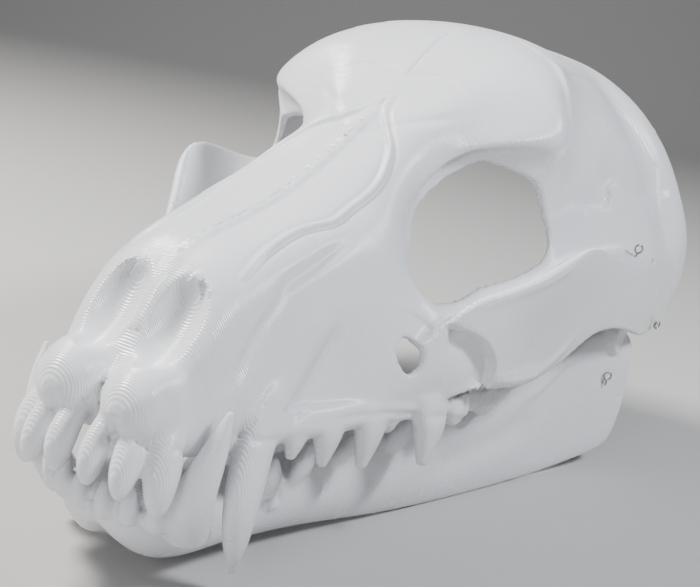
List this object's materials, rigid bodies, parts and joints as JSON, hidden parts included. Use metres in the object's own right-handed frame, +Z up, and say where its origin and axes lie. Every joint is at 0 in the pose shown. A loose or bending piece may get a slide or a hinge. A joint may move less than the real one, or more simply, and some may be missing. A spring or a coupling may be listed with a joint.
{
  "type": "wolf skull mask with hinged jaw",
  "caption": "White printed wolf skull mask: a thin hollow shell with open orbits, underside and back, and a lower jaw that hinges at the cheeks.",
  "frame": {"origin": "middle of the bounding box's underside, on the surface the mask stands on", "axes": "nose towards -Y, +Z up, the wearer's left towards +X"},
  "size_m": [0.208, 0.3162, 0.1879],
  "materials": {
    "skull_plastic": "glossy white printed plastic with fine layer lines square to the nose",
    "jaw_plastic": "glossy white printed plastic with fine slanted layer lines",
    "wire": "bright bent steel wire"
  },
  "bodies": {
    "cranium": {"skull": "skull_plastic", "skull_upper_loop_left": "wire", "skull_upper_loop_right": "wire", "skull_rear_loop_left": "wire", "skull_rear_loop_right": "wire"},
    "mandible": {"jaw": "jaw_plastic", "jaw_loop_left": "wire", "jaw_loop_right": "wire"}
  },
  "joints": [
    {"name": "jaw_hinge", "type": "hinge", "parent": "cranium", "child": "mandible", "pos_m": [0, 0.1099, 0.0644], "axis": [1, 0, 0], "range_deg": [0, 30]}
  ]
}
